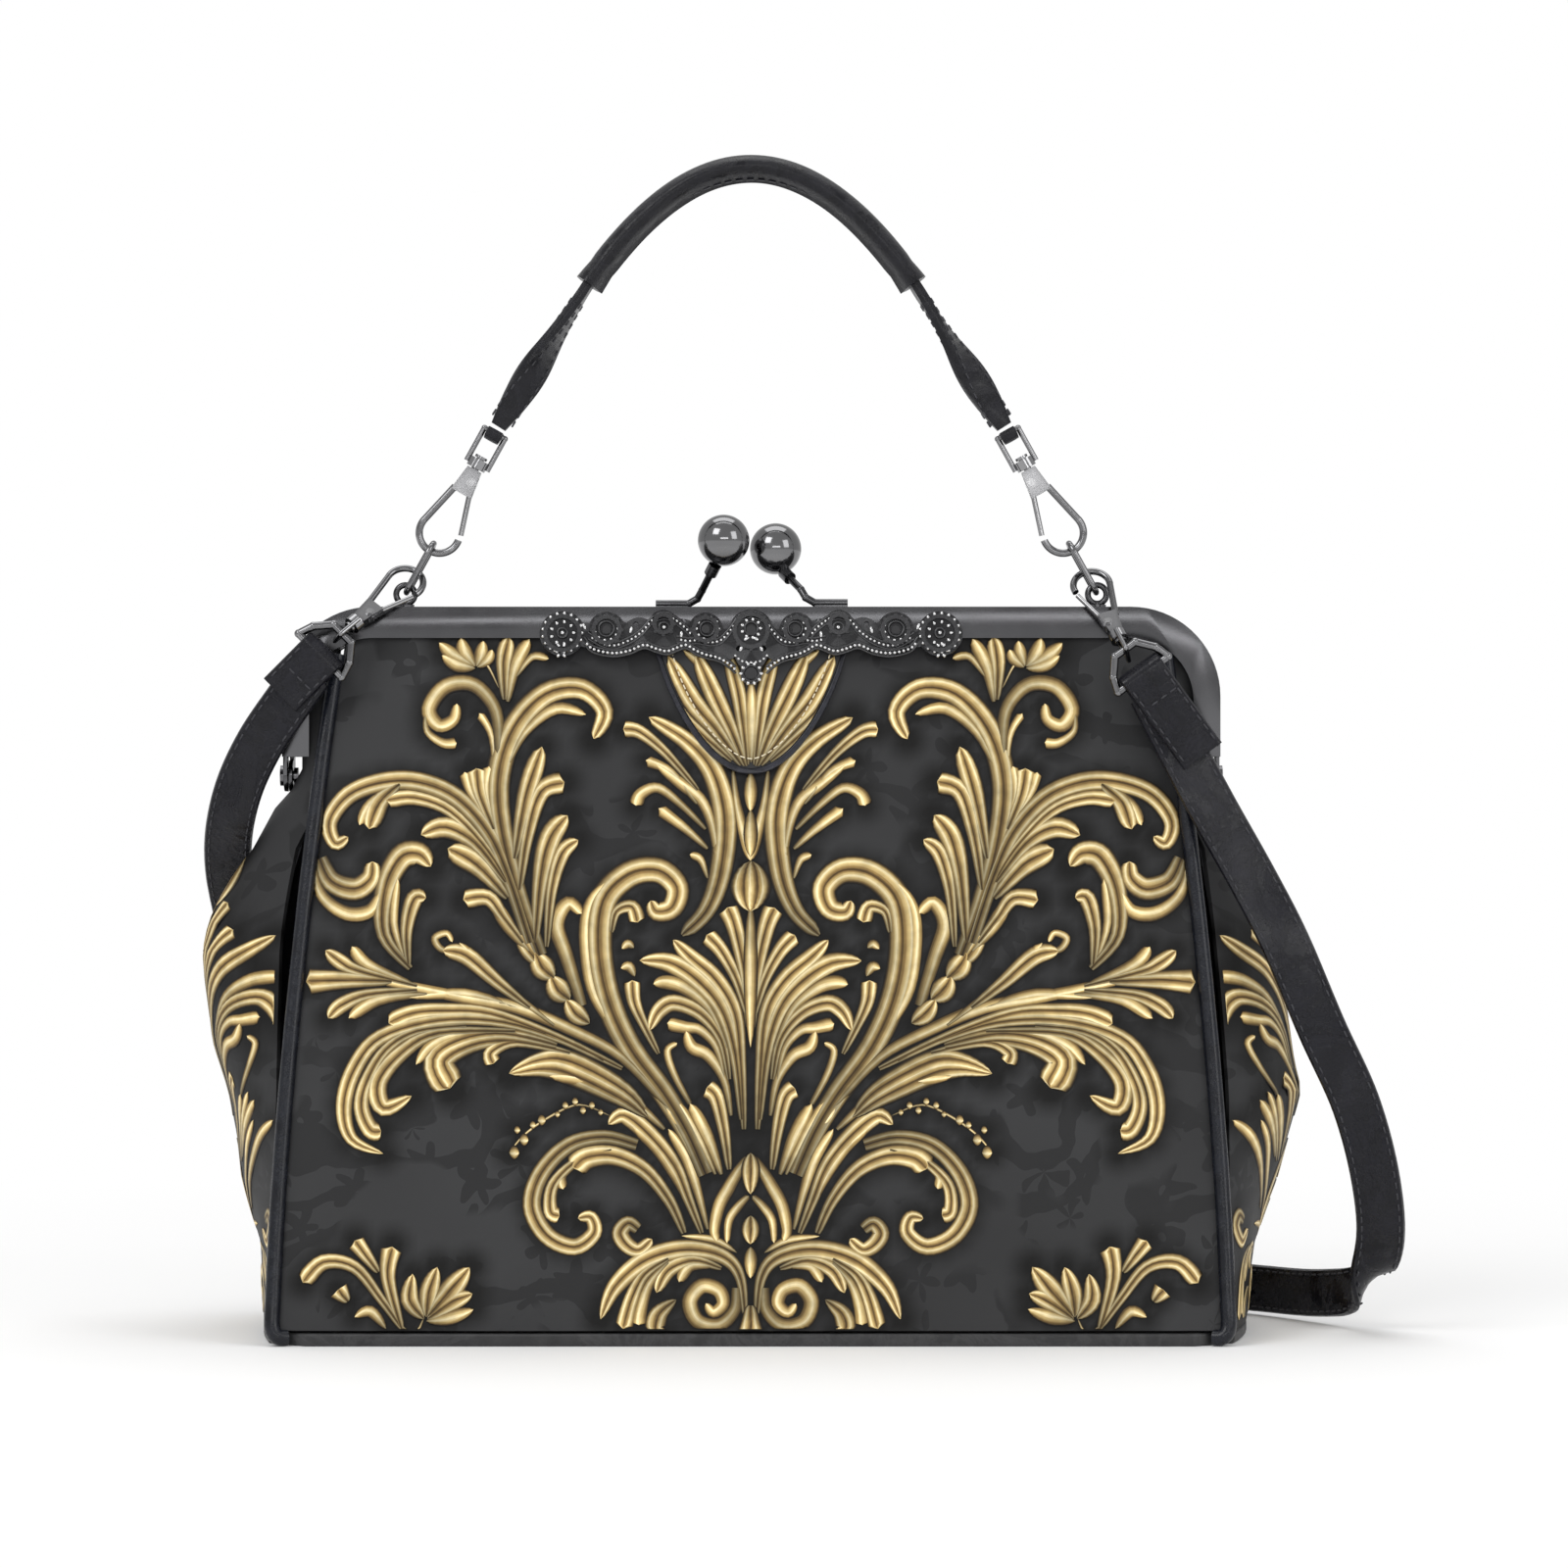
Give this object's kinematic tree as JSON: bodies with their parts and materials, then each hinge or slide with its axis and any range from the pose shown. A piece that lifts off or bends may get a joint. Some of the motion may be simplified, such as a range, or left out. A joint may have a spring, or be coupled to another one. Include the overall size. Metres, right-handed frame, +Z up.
{
  "type": "kiss lock frame purse",
  "caption": "Framed handbag with a two-ball kiss lock, padded panels, bulging gussets, a clip-on rolled handle and a clip-on shoulder strap.",
  "frame": {"origin": "centre of the base's underside, on the ground", "axes": "+X along the bag's width, +Y from front to back, +Z up"},
  "size_m": [0.3485, 0.1451, 0.3414],
  "materials": {
    "gunmetal": "satin black nickel plate",
    "polished_gunmetal": "polished black nickel plate",
    "bright_nickel": "polished nickel plate",
    "printed_leather": "printed fine-grain coated leather, gold scrolls on charcoal",
    "piping_leather": "glossy smooth leather",
    "strap_leather": "glossy crinkled leather with stitch rows",
    "handle_leather": "glossy grained leather",
    "lining_cloth": "plain woven lining",
    "board": "raw",
    "paper_cord": "twisted",
    "padding": "felt",
    "black_stone": "faceted, polished"
  },
  "bodies": {
    "root": {"front_frame": "gunmetal", "front_channel_cord": "paper_cord", "hinge_rivets": "gunmetal", "front_ball_post": "gunmetal", "front_ball": "polished_gunmetal", "ornament": "gunmetal", "ornament_stones": "black_stone", "ornament_rivets": "gunmetal", "frame_eyes": "gunmetal", "front_panel": "printed_leather", "rear_panel": "printed_leather", "rear_panel_fold": "printed_leather", "left_gusset": "printed_leather", "right_gusset": "printed_leather", "left_gusset_top": "printed_leather", "right_gusset_top": "printed_leather", "front_piping": "piping_leather", "rear_piping": "piping_leather", "base_panel": "piping_leather", "base_board": "board", "tongue": "printed_leather", "tongue_piping": "piping_leather", "lining_front": "lining_cloth", "lining_rear": "lining_cloth", "lining_sides": "lining_cloth", "slip_pocket": "lining_cloth", "shoulder_strap": "strap_leather", "left_strap_ring": "polished_gunmetal", "right_strap_ring": "polished_gunmetal", "left_strap_swivel": "polished_gunmetal", "right_strap_swivel": "polished_gunmetal"},
    "rear_frame": {"rear_frame": "gunmetal", "rear_channel_cord": "paper_cord", "rear_ball_post": "gunmetal", "rear_ball": "polished_gunmetal", "rear_panel_top": "printed_leather", "rear_piping_top": "piping_leather", "lining_rear_top": "lining_cloth"},
    "left_link": {"left_link": "polished_gunmetal"},
    "right_link": {"right_link": "polished_gunmetal"},
    "handle": {"handle_strap": "handle_leather", "handle_grip": "handle_leather", "grip_padding": "padding", "left_handle_swivel": "polished_gunmetal", "right_handle_swivel": "polished_gunmetal"},
    "left_handle_hook": {"left_handle_hook": "polished_gunmetal", "left_handle_gate_pin": "bright_nickel"},
    "left_handle_gate": {"left_handle_gate": "bright_nickel"},
    "right_handle_hook": {"right_handle_hook": "polished_gunmetal", "right_handle_gate_pin": "bright_nickel"},
    "right_handle_gate": {"right_handle_gate": "bright_nickel"},
    "left_strap_hook": {"left_strap_hook": "polished_gunmetal", "left_strap_gate_pin": "bright_nickel"},
    "left_strap_gate": {"left_strap_gate": "bright_nickel"},
    "right_strap_hook": {"right_strap_hook": "polished_gunmetal", "right_strap_gate_pin": "bright_nickel"},
    "right_strap_gate": {"right_strap_gate": "bright_nickel"}
  },
  "joints": [
    {"name": "frame_open", "type": "hinge", "parent": "root", "child": "rear_frame", "pos_m": [0, 0, 0.161], "axis": [-1, 0, 0], "range_deg": [0, 75], "deforming": ["rear_panel_fold", "left_gusset_top", "right_gusset_top"]},
    {"name": "left_link_swing", "type": "hinge", "parent": "root", "child": "left_link", "pos_m": [-0.09919, -0.00465, 0.21606], "axis": [1, 0, 0], "range_deg": [-10, 10]},
    {"name": "right_link_swing", "type": "hinge", "parent": "root", "child": "right_link", "pos_m": [0.09919, -0.00465, 0.21606], "axis": [1, 0, 0], "range_deg": [-10, 10]},
    {"name": "handle_swing", "type": "hinge", "parent": "left_link", "child": "handle", "pos_m": [-0.09347, -0.00465, 0.22638], "axis": [1, 0, 0], "range_deg": [-70, 70]},
    {"name": "left_hook_turn", "type": "hinge", "parent": "handle", "child": "left_handle_hook", "pos_m": [-0.09347, -0.00465, 0.22638], "axis": [0.4848, 0, 0.8746], "range_deg": [-10, 10]},
    {"name": "left_hook_gate", "type": "hinge", "parent": "left_handle_hook", "child": "left_handle_gate", "pos_m": [-0.08127, -0.00465, 0.24592], "axis": [0, 1, 0], "range_deg": [0, 20], "stiffness_Nm_per_rad": 0.01, "springref_deg": -20.05},
    {"name": "right_hook_turn", "type": "hinge", "parent": "handle", "child": "right_handle_hook", "pos_m": [0.09347, -0.00465, 0.22638], "axis": [-0.4848, 0, 0.8746], "range_deg": [-10, 10]},
    {"name": "right_hook_gate", "type": "hinge", "parent": "right_handle_hook", "child": "right_handle_gate", "pos_m": [0.08127, -0.00465, 0.24592], "axis": [0, -1, 0], "range_deg": [0, 20], "stiffness_Nm_per_rad": 0.01, "springref_deg": -20.05},
    {"name": "left_strap_hook_turn", "type": "hinge", "parent": "root", "child": "left_strap_hook", "pos_m": [-0.09696, -0.00465, 0.22009], "axis": [-0.6685, -0.4579, -0.5861], "range_deg": [-10, 10]},
    {"name": "left_strap_hook_gate", "type": "hinge", "parent": "left_strap_hook", "child": "left_strap_gate", "pos_m": [-0.11, -0.01452, 0.20735], "axis": [0.042, -0.81, 0.5849], "range_deg": [0, 20], "stiffness_Nm_per_rad": 0.01, "springref_deg": -20.05},
    {"name": "right_strap_hook_turn", "type": "hinge", "parent": "root", "child": "right_strap_hook", "pos_m": [0.09696, -0.00465, 0.22009], "axis": [0.3362, -0.5861, -0.7372], "range_deg": [-10, 10]},
    {"name": "right_strap_hook_gate", "type": "hinge", "parent": "right_strap_hook", "child": "right_strap_gate", "pos_m": [0.1029, -0.01697, 0.20451], "axis": [0.0427, 0.7915, -0.6097], "range_deg": [0, 20], "stiffness_Nm_per_rad": 0.01, "springref_deg": -20.05}
  ],
  "couplings": [
    {"joint": "right_link_swing", "follows": "left_link_swing", "ratio": 1}
  ]
}
